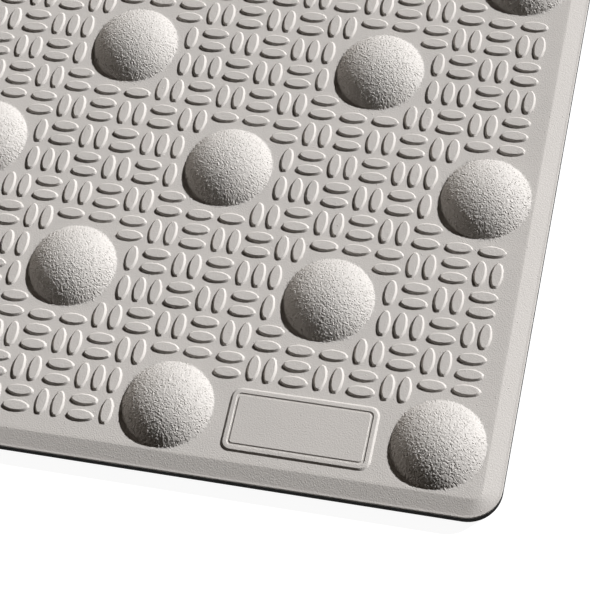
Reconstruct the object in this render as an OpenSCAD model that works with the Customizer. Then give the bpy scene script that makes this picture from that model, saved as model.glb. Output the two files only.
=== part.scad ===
// Anti-fatigue standing mat: a moulded top sheet with a sloping border, rows of raised
// massage domes seated in it, a foam core inside and a non-slip base tray below.
// Millimetres. +X runs along the long side, +Y from front to back and +Z up.
// The origin is the middle of the underside, on the floor.

/* [Grid] */
// Pitch of the square grid that every feature of the top is laid out on
grid_pitch = 19.05; // [16:0.05:24]
// Grid squares along the long side
grid_columns = 48; // [24:8:56]
// Grid squares from front to back
grid_rows = 32; // [16:8:32]

/* [Layers] */
// Thickness of the base tray's floor
floor_t = 2; // [1.5:0.1:3]
// Thickness of the foam core
core_t = 4.5; // [3.5:0.5:8]
// Thickness of the top sheet over the core
skin_t = 3; // [2.4:0.1:3.6]
// Thickness of the top sheet's lip at the outer edge, on the base tray's rim
lip_t = 1.4; // [0.8:0.1:1.6]

/* [Edge] */
// Corner radius of the whole mat
corner_r = 19; // [16:1:24]
// Corner radius of the flat top inside the sloping border
top_corner_r = 5; // [3:1:8]
// Width of the flat land round the outside
land_w = 1.2; // [1:0.1:2]
// Width of the sloping border, seen from above
slope_w = 9.3; // [6:0.1:10]
// How far the border drops from the flat top to the land
slope_drop = 2.4; // [2:0.1:4.2]
// Width of the solid rim round the foam core
rim_w = 9; // [7:0.5:9]

/* [Domes] */
// Diameter of a dome where it leaves the top sheet
dome_d = 52; // [36:1:52]
// Height of a dome above the top sheet
dome_h = 10.5; // [6:0.5:14]
// How far the hidden flange of a dome reaches past its hole
flange_w = 2; // [1:0.5:2]
// Thickness of the hidden flange
flange_t = 1.5; // [1:0.1:2]
// Radial gap between a dome and its seat
seat_gap = 0.1; // [0.05:0.05:0.2]

/* [Blank plate] */
// Length of the raised blank plate near the front right corner
plate_l = 84; // [60:1:84]
// Width of the blank plate
plate_w = 38; // [24:1:40]
// Height of the blank plate above the top sheet
plate_h = 1; // [0.6:0.1:2]
// Corner radius of the blank plate
plate_r = 6; // [5:1:10]
// Distance from the plate's edge to the groove that frames it
groove_inset = 3.5; // [2:0.5:4]
// Width of the groove
groove_w = 1.2; // [0.8:0.1:2]

/* [Hidden] */
$fn = 96;
mat_l = grid_columns * grid_pitch;
mat_w = grid_rows * grid_pitch;
skin_z = floor_t + core_t;
top_z = skin_z + skin_t;
land_z = top_z - slope_drop;
rim_z = land_z - lip_t;
core_r = corner_r - rim_w;
border_w = land_w + slope_w;
overcut = 1;
thin = 0.01;

// Domes stand in staggered rows: each row repeats every 8 squares and the next is shifted by 4
dome_step = 8;
row_step = 4;
first_in_row = [6, 2];
first_row = 2;
domes_in_row = grid_columns / dome_step;
dome_count = domes_in_row * grid_rows / row_step;
dome_r = dome_d / 2;
cap_r = (dome_r * dome_r + dome_h * dome_h) / (2 * dome_h);
flange_r = dome_r + flange_w;
flange_z = skin_z - flange_t;

// The blank plate lies midway between the last two domes of the front row
plate_x = mat_l / 2 - 6 * grid_pitch;
plate_y = -mat_w / 2 + 1.85 * grid_pitch;
groove_depth = plate_h / 2;

function dome_name(n) = str("dome_", n < 10 ? "0" : "", n);
function dome_row(n) = floor((n - 1) / domes_in_row);
function dome_column(n) = (n - 1) % domes_in_row;
function dome_x(n) = (first_in_row[dome_row(n) % 2] + dome_step * dome_column(n)) * grid_pitch - mat_l / 2;
function dome_y(n) = (first_row + row_step * dome_row(n)) * grid_pitch - mat_w / 2;

// A rectangle with round corners, centred on the origin
module rounded_rect(length, width, radius) {
    square([length - 2 * radius, width], center = true);
    square([length, width - 2 * radius], center = true);
    for (x = [-1, 1], y = [-1, 1])
        translate([x * (length / 2 - radius), y * (width / 2 - radius)])
            circle(radius);
}

// The mat's outline moved in from its edge, as a slab from z up
module mat_slab(inset, radius, z, height) {
    translate([0, 0, z])
        linear_extrude(height)
            rounded_rect(mat_l - 2 * inset, mat_w - 2 * inset, radius);
}

module at_domes() {
    for (n = [1:dome_count])
        translate([dome_x(n), dome_y(n), 0])
            children();
}

module flange_pocket() {
    translate([0, 0, flange_z])
        cylinder(r = flange_r + seat_gap, h = flange_t);
}

// The through hole and, where the rim is below it, the pocket for the flange
module dome_seat() {
    translate([0, 0, flange_z])
        cylinder(r = dome_r + seat_gap, h = top_z + overcut - flange_z);
    flange_pocket();
}

module core_space() {
    mat_slab(rim_w, core_r, floor_t, core_t);
}

module sloping_block() {
    mat_slab(0, corner_r, rim_z, lip_t);
    hull() {
        mat_slab(land_w, corner_r - land_w, land_z - thin, thin);
        mat_slab(border_w, top_corner_r, top_z - thin, thin);
    }
}

module blank_plate() {
    translate([plate_x, plate_y, skin_z + skin_t / 2])
        linear_extrude(skin_t / 2 + plate_h)
            rounded_rect(plate_l, plate_w, plate_r);
}

module plate_groove() {
    inner = groove_inset + groove_w;
    translate([plate_x, plate_y, top_z + plate_h - groove_depth])
        linear_extrude(groove_depth + overcut)
            difference() {
                rounded_rect(plate_l - 2 * groove_inset, plate_w - 2 * groove_inset, plate_r - groove_inset / 2);
                rounded_rect(plate_l - 2 * inner, plate_w - 2 * inner, plate_r - inner / 2);
            }
}

module top_sheet() {
    color("#c4bfb9")
        difference() {
            union() {
                sloping_block();
                blank_plate();
            }
            core_space();
            at_domes() dome_seat();
            plate_groove();
        }
}

module foam_core() {
    color("#8d8f90")
        difference() {
            core_space();
            at_domes() flange_pocket();
        }
}

module base_tray() {
    color("#141414")
        difference() {
            mat_slab(0, corner_r, 0, rim_z);
            core_space();
        }
}

module dome(n) {
    color("#d2cdc7")
        translate([dome_x(n), dome_y(n), 0]) {
            translate([0, 0, flange_z])
                cylinder(r = flange_r, h = flange_t);
            translate([0, 0, skin_z - thin])
                cylinder(r = dome_r, h = skin_t + thin);
            intersection() {
                translate([0, 0, top_z + dome_h - cap_r])
                    sphere(cap_r);
                translate([0, 0, top_z - thin])
                    cylinder(r = dome_r, h = dome_h + overcut);
            }
        }
}

base_tray();
foam_core();
top_sheet();
for (n = [1:dome_count])
    dome(n);
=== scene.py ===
"""The looks of an anti-fatigue mat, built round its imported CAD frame.
Metres, +Z up, the origin in the middle of the underside."""

import math

import bpy
import numpy as np
from mathutils import Matrix, Vector, noise
from mathutils.geometry import delaunay_2d_cdt


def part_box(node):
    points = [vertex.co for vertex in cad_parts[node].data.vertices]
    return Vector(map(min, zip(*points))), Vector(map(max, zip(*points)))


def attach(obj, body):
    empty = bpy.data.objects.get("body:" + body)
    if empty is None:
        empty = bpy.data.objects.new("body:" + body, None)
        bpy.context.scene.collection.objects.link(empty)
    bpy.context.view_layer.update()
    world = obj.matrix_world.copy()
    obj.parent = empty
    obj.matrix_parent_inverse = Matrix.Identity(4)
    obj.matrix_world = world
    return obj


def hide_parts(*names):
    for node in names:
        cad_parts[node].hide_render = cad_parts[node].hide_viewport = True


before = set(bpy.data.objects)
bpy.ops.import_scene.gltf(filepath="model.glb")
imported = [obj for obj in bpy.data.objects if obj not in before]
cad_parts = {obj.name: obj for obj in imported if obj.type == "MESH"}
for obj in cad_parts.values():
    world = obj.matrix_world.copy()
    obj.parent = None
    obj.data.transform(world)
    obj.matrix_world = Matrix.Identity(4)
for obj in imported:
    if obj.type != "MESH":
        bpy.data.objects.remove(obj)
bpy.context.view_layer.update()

# ---------------------------------------------------------------- sizes

SEED = 20
MM = 0.001
CELL = 19.05 * MM  # pitch of the square grid that the whole top is laid out on
SHEET_LOW, SHEET_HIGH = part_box("top_sheet")
CORE_LOW, CORE_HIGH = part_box("foam_core")
TRAY_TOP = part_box("base_tray")[1].z
DOME_NAMES = sorted(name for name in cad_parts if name.startswith("dome_"))
DOME_LOW, DOME_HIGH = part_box(DOME_NAMES[0])
LENGTH = SHEET_HIGH.x - SHEET_LOW.x
WIDTH = SHEET_HIGH.y - SHEET_LOW.y
COLUMNS = round(LENGTH / CELL)
ROWS = round(WIDTH / CELL)
PLATE_HEIGHT = 1.0 * MM
TOP = SHEET_HIGH.z - PLATE_HEIGHT  # height of the sheet's flat top
SKIN_LOW = CORE_HIGH.z  # underside of the sheet over the core
RIM_TOP = SHEET_LOW.z  # where the sheet's lip lies on the tray's rim
RIM_WIDTH = SHEET_HIGH.x - CORE_HIGH.x
LIP_THICKNESS = 1.4 * MM  # of the sheet on the tray's rim
LAND = RIM_TOP + LIP_THICKNESS  # height of the narrow flat round the outside
LAND_WIDTH = 1.2 * MM
BORDER_WIDTH = 10.5 * MM  # the land and the slope together
OUTER_RADIUS = 19.0 * MM
INNER_RADIUS = 5.0 * MM  # of the flat top's corners
FLANGE_WIDTH = 2 * MM  # how far a dome's flange reaches past its neck
FLANGE_RADIUS = (DOME_HIGH.x - DOME_LOW.x) / 2
DOME_RADIUS = FLANGE_RADIUS - FLANGE_WIDTH
DOME_HEIGHT = DOME_HIGH.z - TOP
CAP_RADIUS = (DOME_RADIUS**2 + DOME_HEIGHT**2) / (2 * DOME_HEIGHT)  # of the ball it is cut from
SEAT_GAP = 0.1 * MM  # between a dome and its seat
HOLE_STEPS = 96
CORNER_STEPS = 12
TIP_CROWDING = 0.25  # above 0, an ellipse's points are closer together at its tips
SHARP_ANGLE = math.radians(28)  # edges that bend more than this are shaded sharp
MERGE_DISTANCE = 1e-6  # millimetres between points that the triangulation takes as one

chance = np.random.default_rng(SEED)

# ---------------------------------------------------------------- mesh tools


def rounded_loop(length, width, radius, steps=CORNER_STEPS):
    """Points anticlockwise round a rectangle with round corners, centred on the origin."""
    turn = np.linspace(0, math.pi / 2, steps + 1)
    corners = []
    for quarter, (sx, sy) in enumerate(((1, 1), (-1, 1), (-1, -1), (1, -1))):
        angle = turn + quarter * math.pi / 2
        x = sx * (length / 2 - radius) + radius * np.cos(angle)
        y = sy * (width / 2 - radius) + radius * np.sin(angle)
        corners.append(np.stack([x, y], 1))
    return np.concatenate(corners)


def inset_loop(inset):
    """The mat's outline moved in by inset, with a corner radius that shrinks towards the flat top's."""
    radius = OUTER_RADIUS - inset / BORDER_WIDTH * (OUTER_RADIUS - INNER_RADIUS)
    return rounded_loop(LENGTH - 2 * inset, WIDTH - 2 * inset, radius)


def ellipse(centre, half_x, half_y, steps):
    """Points anticlockwise round an ellipse, closer together at its tips."""
    angle = np.arange(steps) * 2 * math.pi / steps
    angle -= TIP_CROWDING * (half_x - half_y) / (half_x + half_y) * np.sin(2 * angle)
    return np.stack([centre[0] + half_x * np.cos(angle), centre[1] + half_y * np.sin(angle)], 1)


def circle(centre, radius, steps):
    return ellipse(centre, radius, radius, steps)


def triangulate(rings, holes, loose=()):
    """Triangles of the flat area inside rings[0] and outside the convex rings whose numbers are in holes.
    They index the points of all rings in order, then the loose points."""
    points, edges, owner = [], [], []
    for number, ring in enumerate(rings):
        first = len(points)
        points += [Vector(p) / MM for p in ring]
        count = len(ring)
        edges += [(first + i, first + (i + 1) % count) for i in range(count)]
        owner += [number] * count
    points += [Vector(p) / MM for p in loose]
    owner += [-1] * len(loose)
    _, _, faces, source, _, _ = delaunay_2d_cdt(points, edges, [], 0, MERGE_DISTANCE)
    triangles = []
    for face in faces:
        corners = [source[v][0] for v in face]
        owners = {owner[c] for c in corners}
        in_a_hole = len(owners) == 1 and owners <= holes
        if not in_a_hole:
            triangles.append(corners)
    return triangles


class Shell:
    """Collects rings of points and the faces between them."""

    def __init__(self):
        self.points = []
        self.faces = []

    def ring(self, xy, z):
        """A ring of points at height z. Returns their numbers."""
        first = len(self.points)
        self.points += [(x, y, z) for x, y in xy]
        return list(range(first, len(self.points)))

    def bridge(self, outer, inner):
        """Quads from the outer or lower ring to the inner or upper one, facing out or up."""
        n = len(outer)
        for i in range(n):
            after = (i + 1) % n
            self.faces.append((outer[i], outer[after], inner[after], inner[i]))

    def bridges(self, rings):
        """Quads between each ring and the next."""
        for outer, inner in zip(rings, rings[1:]):
            self.bridge(outer, inner)

    def cap(self, ring, up=True):
        """One face over the whole ring, which faces up or down."""
        self.faces.append(tuple(ring if up else ring[::-1]))

    def flat(self, outline, holes, up=True):
        """The flat area inside the outline ring and outside the rings in holes."""
        rings = [outline, *holes]
        index = [i for ring in rings for i in ring]
        xy = [[self.points[i][:2] for i in ring] for ring in rings]
        for triangle in triangulate(xy, set(range(1, len(rings)))):
            face = [index[corner] for corner in triangle]
            self.faces.append(tuple(face if up else face[::-1]))

    def build(self, name, material):
        """The object, shaded smooth but for its sharp edges."""
        mesh = bpy.data.meshes.new(name)
        mesh.from_pydata([tuple(map(float, p)) for p in self.points], [], self.faces)
        mesh.validate()
        mesh.shade_smooth()
        mesh.set_sharp_from_angle(angle=SHARP_ANGLE)
        mesh.materials.append(material)
        obj = bpy.data.objects.new(name, mesh)
        bpy.context.scene.collection.objects.link(obj)
        weigh = obj.modifiers.new("weighted_normals", "WEIGHTED_NORMAL")
        weigh.keep_sharp = True
        return obj


# ---------------------------------------------------------------- material tools


def new_material(name):
    material = bpy.data.materials.new(name)
    material.use_nodes = True
    tree = material.node_tree
    return material, tree, tree.nodes["Principled BSDF"]


def object_coordinates(tree):
    return tree.nodes.new("ShaderNodeTexCoord").outputs["Object"]


def noise_texture(tree, size, detail=2.0, roughness=0.5):
    """Noise with grains about size metres across."""
    node = tree.nodes.new("ShaderNodeTexNoise")
    node.inputs["Scale"].default_value = 1 / size
    node.inputs["Detail"].default_value = detail
    node.inputs["Roughness"].default_value = roughness
    tree.links.new(object_coordinates(tree), node.inputs["Vector"])
    return node.outputs["Fac"]


def voronoi_texture(tree, size):
    """Distance to the middle of round cells about size metres across, in cell sizes."""
    node = tree.nodes.new("ShaderNodeTexVoronoi")
    node.inputs["Scale"].default_value = 1 / size
    tree.links.new(object_coordinates(tree), node.inputs["Vector"])
    return node.outputs["Distance"]


def remap(tree, value, low, high, to_low, to_high):
    """Stretches the range low to high of a value to the range to_low to to_high."""
    node = tree.nodes.new("ShaderNodeMapRange")
    for name, number in zip(("From Min", "From Max", "To Min", "To Max"), (low, high, to_low, to_high)):
        node.inputs[name].default_value = number
    tree.links.new(value, node.inputs["Value"])
    return node.outputs["Result"]


def blend_colours(tree, factor, first, second):
    """The first colour where factor is 0, the second where it is 1. Each is a tuple or a socket."""
    node = tree.nodes.new("ShaderNodeMix")
    node.data_type = "RGBA"
    colours = [s for s in node.inputs if s.type == "RGBA"]
    for socket, colour in zip(colours, (first, second)):
        if isinstance(colour, tuple):
            socket.default_value = (*colour, 1)
        else:
            tree.links.new(colour, socket)
    tree.links.new(factor, node.inputs["Factor"])
    return next(s for s in node.outputs if s.type == "RGBA")


def mottled(tree, size, first, second):
    """Two close colours in soft patches about size metres across."""
    patches = remap(tree, noise_texture(tree, size, detail=3), 0.3, 0.7, 0, 1)
    return blend_colours(tree, patches, first, second)


def bump(tree, height, cell_relief_and_painted_shade, normal=None):
    """A bump of the given depth in metres for heights from 0 to 1."""
    node = tree.nodes.new("ShaderNodeBump")
    node.inputs["Strength"].default_value = 1.0
    node.inputs["Distance"].default_value = cell_relief_and_painted_shade
    tree.links.new(height, node.inputs["Height"])
    if normal is not None:
        tree.links.new(normal, node.inputs["Normal"])
    return node.outputs["Normal"]


def sheet_material():
    """Satin moulded rubber: a warm grey with faint mottling, fine grain and a few moulding pimples."""
    material, tree, shader = new_material("moulded_satin_rubber")
    base = mottled(tree, 40 * MM, (0.505, 0.484, 0.46), (0.535, 0.512, 0.488))
    speckle = noise_texture(tree, 0.9 * MM)
    colour = blend_colours(tree, remap(tree, speckle, 0.25, 0.75, 0, 1), base, (0.53, 0.508, 0.485))
    tree.links.new(colour, shader.inputs["Base Color"])
    tree.links.new(remap(tree, speckle, 0.3, 0.7, 0.6, 0.72), shader.inputs["Roughness"])
    pimples = remap(tree, voronoi_texture(tree, 5.5 * MM), 0.03, 0.07, 1, 0)
    fine = noise_texture(tree, 0.8 * MM, roughness=0.6)
    waves = noise_texture(tree, 3 * MM)
    normal = bump(tree, waves, 0.03 * MM)
    normal = bump(tree, fine, 0.21 * MM, normal)
    normal = bump(tree, pimples, 0.24 * MM, normal)
    tree.links.new(normal, shader.inputs["Normal"])
    shader.inputs["Specular IOR Level"].default_value = 0.22
    return material


def dome_material():
    """Matte rubber with a coarse moulded grain."""
    material, tree, shader = new_material("grained_matte_rubber")
    colour = mottled(tree, 25 * MM, (0.495, 0.476, 0.455), (0.524, 0.504, 0.483))
    tree.links.new(colour, shader.inputs["Base Color"])
    grain = noise_texture(tree, 0.8 * MM, detail=1)
    tree.links.new(remap(tree, grain, 0.3, 0.7, 0.6, 0.75), shader.inputs["Roughness"])
    tree.links.new(bump(tree, grain, 0.1 * MM), shader.inputs["Normal"])
    shader.inputs["Specular IOR Level"].default_value = 0.25
    return material


def tray_material():
    """Black non-slip rubber, dull, with a fine grain."""
    material, tree, shader = new_material("black_non_slip_rubber")
    colour = mottled(tree, 12 * MM, (0.014, 0.014, 0.014), (0.022, 0.022, 0.022))
    tree.links.new(colour, shader.inputs["Base Color"])
    grain = noise_texture(tree, 0.6 * MM)
    tree.links.new(remap(tree, grain, 0.3, 0.7, 0.7, 0.85), shader.inputs["Roughness"])
    tree.links.new(bump(tree, grain, 0.05 * MM), shader.inputs["Normal"])
    shader.inputs["Specular IOR Level"].default_value = 0.06
    return material


def foam_material():
    """Closed-cell foam: mid grey, dull, with small round cells, each painted darker towards its bottom as
    shade.
    """
    material, tree, shader = new_material("closed_cell_foam")
    cell_relief_and_painted_shade = remap(tree, voronoi_texture(tree, 0.8 * MM), 0.0, 0.6, 0, 1)
    # painted shade: each cell pit's colour darkens from 0.30 at its rim to 0.16 at its bottom, where shade
    # would fall
    colour = blend_colours(tree, cell_relief_and_painted_shade, (0.16, 0.165, 0.17), (0.30, 0.305, 0.31))
    tree.links.new(colour, shader.inputs["Base Color"])
    tree.links.new(bump(tree, cell_relief_and_painted_shade, 0.3 * MM), shader.inputs["Normal"])
    shader.inputs["Roughness"].default_value = 0.9
    shader.inputs["Specular IOR Level"].default_value = 0.15
    return material


WHITE = (1, 1, 1, 1)
FLOOR_GLOW = 0.94  # the studio floor is a light table, so the mat casts only a faint shadow on it


def floor_material():
    """A pale, evenly glowing surface."""
    material, tree, shader = new_material("pale_studio_floor")
    patches = noise_texture(tree, 300 * MM)
    colour = blend_colours(tree, patches, (0.2, 0.2, 0.2), (0.22, 0.22, 0.22))
    tree.links.new(colour, shader.inputs["Base Color"])
    shader.inputs["Roughness"].default_value = 0.9
    shader.inputs["Emission Color"].default_value = WHITE
    shader.inputs["Emission Strength"].default_value = FLOOR_GLOW
    return material


# ---------------------------------------------------------------- the plate and the tread

PLATE_LENGTH = 84 * MM
PLATE_WIDTH = 38 * MM
PLATE_RADIUS = 6 * MM
PLATE_CELLS = (6, 1.85)  # its middle, in cells from the front right corner
PLATE_CENTRE = (LENGTH / 2 - PLATE_CELLS[0] * CELL, -WIDTH / 2 + PLATE_CELLS[1] * CELL)
PLATE_STEPS = 6
PLATE_SLOPE = 1.0 * MM  # how far its sides lean in
PLATE_ROUND = 0.3 * MM  # width of the rounding above them
PLATE_ROUND_DROP = 0.12 * MM  # and its depth
TIGHTEST_CORNER = 1.5 * MM  # of the plate and its groove
GROOVE_INSET = 3.5 * MM
GROOVE_WIDTH = 1.2 * MM
GROOVE_DEPTH = 0.5 * MM
GROOVE_LEAN = 0.25 * MM  # how far its sides lean out

OVAL_LENGTH = 0.85 * CELL
OVAL_WIDTH = 0.395 * CELL
OVAL_HEIGHT = 1.25 * MM
OVAL_STEPS = 14
OVAL_SLOPE = 1.05 * MM  # how far the sloping side leans in
OVAL_ROUND = 0.18 * MM  # width of the rounding between the side and the flat of the oval
OVAL_ROUND_DROP = 0.4 * OVAL_ROUND  # and its depth
OVAL_WOBBLE = 0.08 * MM  # how far its edge strays
OVAL_SPREAD = 0.04  # how much its height varies, as a share
OVAL_OFFSET = 0.25  # of each oval of a pair from the middle of its cell, in cells
BLOCK = 4  # the tread repeats in blocks of 4 by 4 cells, every other one with a dome


def oval_places():
    """(centre in cells from the front right corner, whether it lies along X) of each tread oval.
    Cells alternate between a pair along X and a pair along Y, like a basket weave. Round a dome only
    the outer oval of the nearest cells is left."""
    places = []
    for i in range(1, COLUMNS - 1):
        for j in range(1, ROWS - 1):
            along_x = (i + j) % 2 == 1
            centre = np.array([i + 0.5, j + 0.5])
            across = np.array([0, OVAL_OFFSET] if along_x else [OVAL_OFFSET, 0])
            in_x, in_y = i % BLOCK, j % BLOCK
            near_x, near_y = in_x in (1, 2), in_y in (1, 2)
            holds_dome = (i // BLOCK + j // BLOCK) % 2 == 0
            if not holds_dome or not (near_x or near_y):
                places += [(centre - across, along_x), (centre + across, along_x)]
            elif near_x and not near_y:
                side = OVAL_OFFSET if in_y == BLOCK - 1 else -OVAL_OFFSET
                places.append((centre + (0, side), True))
            elif near_y and not near_x:
                side = OVAL_OFFSET if in_x == BLOCK - 1 else -OVAL_OFFSET
                places.append((centre + (side, 0), False))
    return places


def on_plate(centre, half):
    """Whether an oval with these half sizes would touch the plate."""
    reach_x = PLATE_LENGTH / 2 + half[0]
    reach_y = PLATE_WIDTH / 2 + half[1]
    return abs(centre[0] - PLATE_CENTRE[0]) < reach_x and abs(centre[1] - PLATE_CENTRE[1]) < reach_y


def add_ovals(shell):
    """The tread's raised ovals. Returns their base rings, which the flat of the sheet joins."""
    bases = []
    for place, along_x in oval_places():
        centre = (LENGTH / 2 - place[0] * CELL, -WIDTH / 2 + place[1] * CELL)
        half = np.array([OVAL_LENGTH, OVAL_WIDTH] if along_x else [OVAL_WIDTH, OVAL_LENGTH]) / 2
        if on_plate(centre, half):
            continue
        height = OVAL_HEIGHT * (1 + OVAL_SPREAD * chance.standard_normal())
        wobble = OVAL_WOBBLE * chance.standard_normal((2, OVAL_STEPS, 2))
        base = shell.ring(ellipse(centre, *half, OVAL_STEPS) + wobble[0], TOP)
        shoulder = ellipse(centre, *(half - OVAL_SLOPE), OVAL_STEPS) + wobble[1] / 2
        shoulder = shell.ring(shoulder, TOP + height - OVAL_ROUND_DROP)
        rim = shell.ring(ellipse(centre, *(half - OVAL_SLOPE - OVAL_ROUND), OVAL_STEPS), TOP + height)
        shell.bridges([base, shoulder, rim])
        shell.cap(rim)
        bases.append(base)
    return bases


def plate_loop(inset):
    """The plate's outline moved in by inset."""
    radius = max(PLATE_RADIUS - inset, TIGHTEST_CORNER)
    loop = rounded_loop(PLATE_LENGTH - 2 * inset, PLATE_WIDTH - 2 * inset, radius, PLATE_STEPS)
    return loop + PLATE_CENTRE


def add_plate(shell):
    """The blank raised plate with a framing groove. Returns its base ring."""
    face = TOP + PLATE_HEIGHT
    outer = GROOVE_INSET
    inner = GROOVE_INSET + GROOVE_WIDTH
    profile = [
        (0, TOP),
        (PLATE_SLOPE, face - PLATE_ROUND_DROP),
        (PLATE_SLOPE + PLATE_ROUND, face),
        (outer - GROOVE_LEAN, face),
        (outer, face - GROOVE_DEPTH),
        (inner, face - GROOVE_DEPTH),
        (inner + GROOVE_LEAN, face),
    ]
    rings = [shell.ring(plate_loop(inset), z) for inset, z in profile]
    shell.bridges(rings)
    shell.cap(rings[-1])
    return rings[0]


# ---------------------------------------------------------------- pieces

EDGE_ROUND = 0.45 * MM  # size of the roundings along the border
CREST_DROP = 0.09 * MM  # how far the first of them has dropped halfway
CREST_RISE = 0.05 * MM  # how far its end still is above the slope
LAND_TUCK = 0.2 * MM  # how far the rounding inside the land reaches into it
WALL_ROUND = 0.13 * MM  # how far in and down the rounding above the outer wall has its middle


def dome_centre(name):
    """The middle of a dome, in X and Y."""
    low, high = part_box(name)
    return ((low.x + high.x) / 2, (low.y + high.y) / 2)


def make_top_sheet():
    """The wear sheet: its flat top with tread, plate and dome holes, its sloping border, and the
    hollow below for the core."""
    shell = Shell()
    fall = (LAND - TOP) / (BORDER_WIDTH - LAND_WIDTH)
    profile = [
        (BORDER_WIDTH, TOP),
        (BORDER_WIDTH - EDGE_ROUND, TOP - CREST_DROP),
        (BORDER_WIDTH - 2 * EDGE_ROUND, TOP + fall * 2 * EDGE_ROUND + CREST_RISE),
        (LAND_WIDTH + EDGE_ROUND, LAND - fall * EDGE_ROUND),
        (LAND_WIDTH - LAND_TUCK, LAND),
        (EDGE_ROUND, LAND),
        (WALL_ROUND, LAND - WALL_ROUND),
        (0, LAND - EDGE_ROUND),
        (0, RIM_TOP),
        (RIM_WIDTH, RIM_TOP),
        (RIM_WIDTH, SKIN_LOW),
    ]
    rings = [shell.ring(inset_loop(inset), z) for inset, z in profile]
    shell.bridges(rings[::-1])
    upper_holes, lower_holes = [], []
    for name in DOME_NAMES:
        hole = circle(dome_centre(name), DOME_RADIUS + SEAT_GAP, HOLE_STEPS)
        upper_holes.append(shell.ring(hole, TOP))
        lower_holes.append(shell.ring(hole, SKIN_LOW))
        shell.bridge(upper_holes[-1], lower_holes[-1])
    raised = [*add_ovals(shell), add_plate(shell)]
    shell.flat(rings[0], [*upper_holes, *raised])
    shell.flat(rings[-1], lower_holes, up=False)
    return shell.build("moulded_top_sheet", sheet_material())


GRAIN_STEP = 0.5 * MM  # spacing of the points on a dome
GRAIN_STRAY = 0.28  # how far a point strays from its place, in steps
ROW_PITCH = math.sqrt(3) / 2  # between rows of points, in steps
EXTRA_ROWS = 8  # needed because the rows are closer together than a step
RIM_GAP = 0.6 * GRAIN_STEP  # between the outermost points and the lip
GRAIN_DEPTH = 0.13 * MM  # of the grain's lumps
GRAIN_SIZES = (1.0 * MM, 0.7 * MM)  # of its coarse and fine lumps
FINE_SHIFT = Vector((7, 3, 5))  # keeps the fine lumps apart from the coarse ones
GRIT_DEPTH = 0.15 * MM  # of the sandy grit on top of them
GRIT_DEEPEST = -2.0  # lowest pit and tallest grain of the grit, in grit depths
GRIT_TALLEST = 1.4
GRIT_CALM = 2.5  # the higher, the lower all the grit is between its tallest grains and deepest pits
LIP_LAP = 0.9 * MM  # how far the grained skin laps over the seam
LIP_RADIUS = DOME_RADIUS + LIP_LAP
LIP_RAGGED = 2.2 * MM  # how far its edge strays at most
LIP_SHRINK = 0.6 * MM  # how far inwards at most
LIP_REACH = 2.5 * MM  # how far from the edge the straying fades out
LIP_CLUMP = 1.4 * MM  # size of the edge's bays
LIP_HEIGHT = 0.06 * MM
LIP_SPREAD = 0.5  # how much that varies with the grain, as a share
LIP_EDGE = 0.5 * LIP_HEIGHT  # height of the lip's very edge
NECK_TOP = 0.3 * LIP_HEIGHT  # how far the neck comes up under the lip
RIM_STEPS = 300


def dome_lattice():
    """The lip of a dome, the points of an uneven lattice inside it, and the triangles that join them."""
    rim = circle((0, 0), LIP_RADIUS, RIM_STEPS)
    count = int(LIP_RADIUS / GRAIN_STEP) + EXTRA_ROWS
    loose = []
    for row in range(-count, count + 1):
        for column in range(-count, count + 1):
            stray = chance.uniform(-GRAIN_STRAY, GRAIN_STRAY, 2) * GRAIN_STEP
            x = (column + 0.5 * (row % 2)) * GRAIN_STEP + stray[0]
            y = row * GRAIN_STEP * ROW_PITCH + stray[1]
            if math.hypot(x, y) < LIP_RADIUS - RIM_GAP:
                loose.append((x, y))
    return rim, np.array(loose), triangulate([rim], set(), loose)


def grain_height(point):
    """Height of the moulded grain, about -1 to 1, at a point in metres."""
    coarse_size, fine_size = GRAIN_SIZES
    coarse = noise.noise(point / coarse_size)
    fine = noise.noise(point / fine_size + FINE_SHIFT)
    return coarse + fine


def grit_height():
    """Height of the grit at one point, in grit depths: small at most points and large at a few."""
    height = chance.standard_normal() ** 3 / GRIT_CALM
    return min(max(height, GRIT_DEEPEST), GRIT_TALLEST)


def ragged(x, y, centre):
    """The point moved out or in, more so the nearer it is to the lip, so that the lip's edge is uneven."""
    radius = math.hypot(x, y)
    nearness = max(0, 1 - (LIP_RADIUS - radius) / LIP_REACH)
    shift = LIP_RAGGED * nearness * noise.noise((centre + Vector((x, y, 0))) / LIP_CLUMP)
    scale = 1 + max(shift, -LIP_SHRINK * nearness) / max(radius, MM)
    return x * scale, y * scale


def make_dome(name, lattice, material):
    """A shallow grained cap that laps over its seam, on a neck with the flange that holds it below."""
    rim, loose, triangles = lattice
    centre = Vector((*dome_centre(name), 0))
    ball = Vector((0, 0, DOME_HIGH.z - CAP_RADIUS))
    shell = Shell()
    lip = [ragged(x, y, centre) for x, y in rim]
    edge = shell.ring(np.array(lip) + centre.xy, TOP + LIP_EDGE)
    for even_x, even_y in loose:
        x, y = ragged(even_x, even_y, centre)
        radius = math.hypot(x, y)
        out = Vector((x, y, math.sqrt(CAP_RADIUS**2 - radius**2))).normalized()
        point = centre + ball + out * CAP_RADIUS
        point += out * (grain_height(point) * GRAIN_DEPTH + grit_height() * GRIT_DEPTH)
        point.z = max(point.z, TOP + LIP_HEIGHT * (1 + LIP_SPREAD * grain_height(point)))
        shell.points.append(point)
    shell.faces += [tuple(t) for t in triangles]
    neck_top = shell.ring(circle(centre, DOME_RADIUS, RIM_STEPS), TOP + NECK_TOP)
    neck = shell.ring(circle(centre, DOME_RADIUS, RIM_STEPS), SKIN_LOW)
    wide = circle(centre, FLANGE_RADIUS, RIM_STEPS)
    shoulder = shell.ring(wide, SKIN_LOW)
    foot = shell.ring(wide, DOME_LOW.z)
    shell.bridges([foot, shoulder, neck, neck_top, edge])
    shell.cap(foot, up=False)
    return shell.build("massage_" + name, material)


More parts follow.
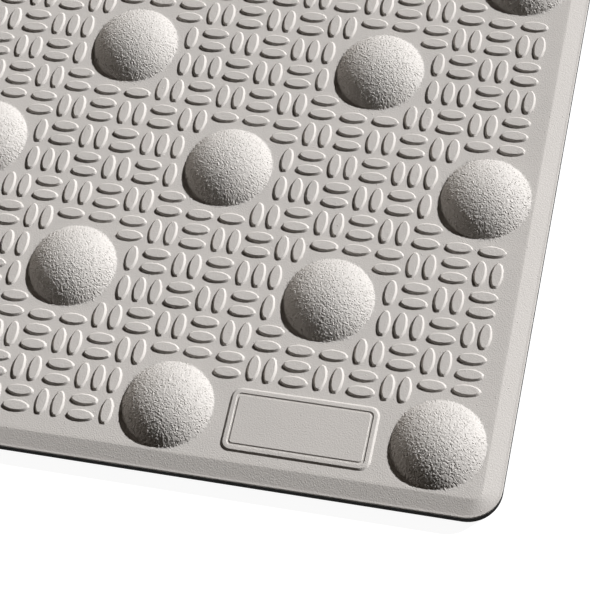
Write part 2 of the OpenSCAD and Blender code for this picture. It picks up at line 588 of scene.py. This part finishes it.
NUB_RADIUS = 4.5 * MM
NUB_HEIGHT = 0.8 * MM
NUB_SLOPE = 0.7 * MM
NUB_STEPS = 14
BAND_WIDTH = 9 * MM  # of the plain band round the nubs, which stands as low as they do
BAND_SLOPE = 0.6 * MM
FOOT_BEVEL = 0.5 * MM  # at the foot of the outer wall
RIM_BEVEL = (0.12 * MM, 0.25 * MM)  # width and depth of the one at its top


def make_tray():
    """The black base: a shallow tray with a rim for the sheet's lip and round grip nubs below."""
    shell = Shell()
    web = NUB_HEIGHT  # height of the underside between the nubs
    bevel_width, bevel_depth = RIM_BEVEL
    profile = [
        (BAND_WIDTH + BAND_SLOPE, web),
        (BAND_WIDTH, 0),
        (FOOT_BEVEL, 0),
        (0, FOOT_BEVEL),
        (0, TRAY_TOP - bevel_depth),
        (bevel_width, TRAY_TOP),
        (RIM_WIDTH, TRAY_TOP),
        (RIM_WIDTH, CORE_LOW.z),
    ]
    rings = [shell.ring(inset_loop(inset), z) for inset, z in profile]
    shell.bridges(rings)
    shell.cap(rings[-1])
    nubs = []
    for i in range(1, COLUMNS - 1):
        for j in range(1, ROWS - 1):
            centre = ((i + 0.5) * CELL - LENGTH / 2, (j + 0.5) * CELL - WIDTH / 2)
            root = shell.ring(circle(centre, NUB_RADIUS, NUB_STEPS), web)
            face = shell.ring(circle(centre, NUB_RADIUS - NUB_SLOPE, NUB_STEPS), 0)
            shell.bridge(face, root)
            shell.cap(face, up=False)
            nubs.append(root)
    shell.flat(rings[0], nubs, up=False)
    return shell.build("non_slip_base_tray", tray_material())


CORE_EASE = 0.15 * MM  # the core stays this far off the rims round it
CORE_ROUND = 0.6 * MM  # size of the rounding along its edges
ROUND_IN, ROUND_UP = 0.15 * CORE_ROUND, 0.3 * CORE_ROUND  # a point halfway along it


def make_core():
    """The foam cushion inside, with a shallow pocket for each dome's flange."""
    shell = Shell()
    low, high = CORE_LOW.z, CORE_HIGH.z
    profile = [
        (CORE_ROUND, low),
        (ROUND_IN, low + ROUND_UP),
        (0, low + CORE_ROUND),
        (0, high - CORE_ROUND),
        (ROUND_IN, high - ROUND_UP),
        (CORE_ROUND, high),
    ]
    rings = [shell.ring(inset_loop(RIM_WIDTH + CORE_EASE + inset), z) for inset, z in profile]
    shell.bridges(rings)
    shell.cap(rings[0], up=False)
    pockets = []
    for name in DOME_NAMES:
        ring = circle(dome_centre(name), FLANGE_RADIUS + SEAT_GAP, HOLE_STEPS)
        mouth = shell.ring(ring, high)
        bottom = shell.ring(ring, DOME_LOW.z)
        shell.bridge(mouth, bottom)
        shell.cap(bottom)
        pockets.append(mouth)
    shell.flat(rings[-1], pockets)
    return shell.build("foam_cushion_core", foam_material())


def put_in_frame(piece, slot, *nodes):
    """The piece rides on the mat's one body, in place of these CAD nodes."""
    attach(piece, "root")
    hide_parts(*nodes)


# ---------------------------------------------------------------- studio

AIM_FROM_RIGHT = 130.7 * MM
AIM_FROM_FRONT = 111.9 * MM
CAMERA_DISTANCE = 1098.1 * MM
CAMERA_AZIMUTH = 26.33  # degrees, like the two below
CAMERA_ELEVATION = 62.91
CAMERA_ROLL = -16.02
CAMERA_LENS = 116.8  # millimetres, like the sensor's width
SENSOR_WIDTH = 36
CLIP_START = 10 * MM


def make_camera():
    """A camera that looks down on the front right corner. Azimuth 0 looks along +Y."""
    aim = Vector((LENGTH / 2 - AIM_FROM_RIGHT, -WIDTH / 2 + AIM_FROM_FRONT, TOP))
    azimuth, elevation, roll = map(math.radians, (CAMERA_AZIMUTH, CAMERA_ELEVATION, CAMERA_ROLL))
    out = math.cos(elevation)
    back = Vector((math.sin(azimuth) * out, -math.cos(azimuth) * out, math.sin(elevation)))
    level = Vector((math.cos(azimuth), math.sin(azimuth), 0))
    upright = back.cross(level)
    right = level * math.cos(roll) + upright * math.sin(roll)
    up = back.cross(right)
    data = bpy.data.cameras.new("camera")
    data.lens = CAMERA_LENS
    data.sensor_width = SENSOR_WIDTH
    data.clip_start = CLIP_START
    camera = bpy.data.objects.new("camera", data)
    turned = Matrix((right, up, back)).transposed().to_4x4()
    camera.matrix_world = Matrix.Translation(aim + back * CAMERA_DISTANCE) @ turned
    bpy.context.scene.collection.objects.link(camera)
    bpy.context.scene.camera = camera


KEY_FROM = Vector((0.656, 0.591, 0.469))
KEY_STRENGTH = 6.25
KEY_ANGLE = 1.2  # degrees that the light's disc spans, as seen from the mat
KEY_COLOUR = (1.0, 0.995, 0.998)
FILL_FROM = Vector((-0.97, 0.12, 0.10))
FILL_STRENGTH = 0.85
FILL_ANGLE = 12
FILL_COLOUR = (1.0, 0.91, 0.83)
AMBIENT = 0.03
AMBIENT_COLOUR = (1, 0.83, 0.68, 1)


def add_sun(name, source, strength, angle, colour):
    """A sun that shines from the direction of source."""
    data = bpy.data.lights.new(name, "SUN")
    data.energy = strength
    data.angle = math.radians(angle)
    data.color = colour
    sun = bpy.data.objects.new(name, data)
    sun.rotation_euler = source.to_track_quat("Z", "Y").to_euler()
    bpy.context.scene.collection.objects.link(sun)


def make_lights():
    """A hard key from behind and the right, which rakes the tread, and a soft low fill from the left."""
    add_sun("key", KEY_FROM, KEY_STRENGTH, KEY_ANGLE, KEY_COLOUR)
    add_sun("fill", FILL_FROM, FILL_STRENGTH, FILL_ANGLE, FILL_COLOUR)


def make_world():
    """A dim warm ambient light. The camera itself sees a pale backdrop above the floor's edge."""
    world = bpy.data.worlds.new("studio")
    world.use_nodes = True
    tree = world.node_tree
    ambient = tree.nodes["Background"]
    ambient.inputs["Color"].default_value = AMBIENT_COLOUR
    ambient.inputs["Strength"].default_value = AMBIENT
    backdrop = tree.nodes.new("ShaderNodeBackground")
    backdrop.inputs["Color"].default_value = WHITE
    backdrop.inputs["Strength"].default_value = 1.0
    seen = tree.nodes.new("ShaderNodeLightPath").outputs["Is Camera Ray"]
    either = tree.nodes.new("ShaderNodeMixShader")
    tree.links.new(seen, either.inputs["Fac"])
    tree.links.new(ambient.outputs["Background"], either.inputs[1])
    tree.links.new(backdrop.outputs["Background"], either.inputs[2])
    tree.links.new(either.outputs["Shader"], tree.nodes["World Output"].inputs["Surface"])
    bpy.context.scene.world = world


FLOOR_SIZE = 6.0
FLOOR_CORNER = 0.75


def make_floor():
    """A wide plain floor that reaches far past the mat."""
    shell = Shell()
    shell.cap(shell.ring(rounded_loop(FLOOR_SIZE, FLOOR_SIZE, FLOOR_CORNER), 0))
    floor = shell.build("studio_floor", floor_material())
    floor.visible_diffuse = False  # its glow stays off the mat


make_camera()
make_lights()
make_world()
make_floor()
bpy.context.scene.view_settings.view_transform = "Standard"

put_in_frame(make_tray(), "base_rubber", "base_tray")
core = make_core()
put_in_frame(core, "core_foam", "foam_core")
put_in_frame(make_top_sheet(), "top_rubber", "top_sheet")
lattice = dome_lattice()
grained_rubber = dome_material()
for dome_name in DOME_NAMES:
    put_in_frame(make_dome(dome_name, lattice, grained_rubber), "dome_rubber", dome_name)
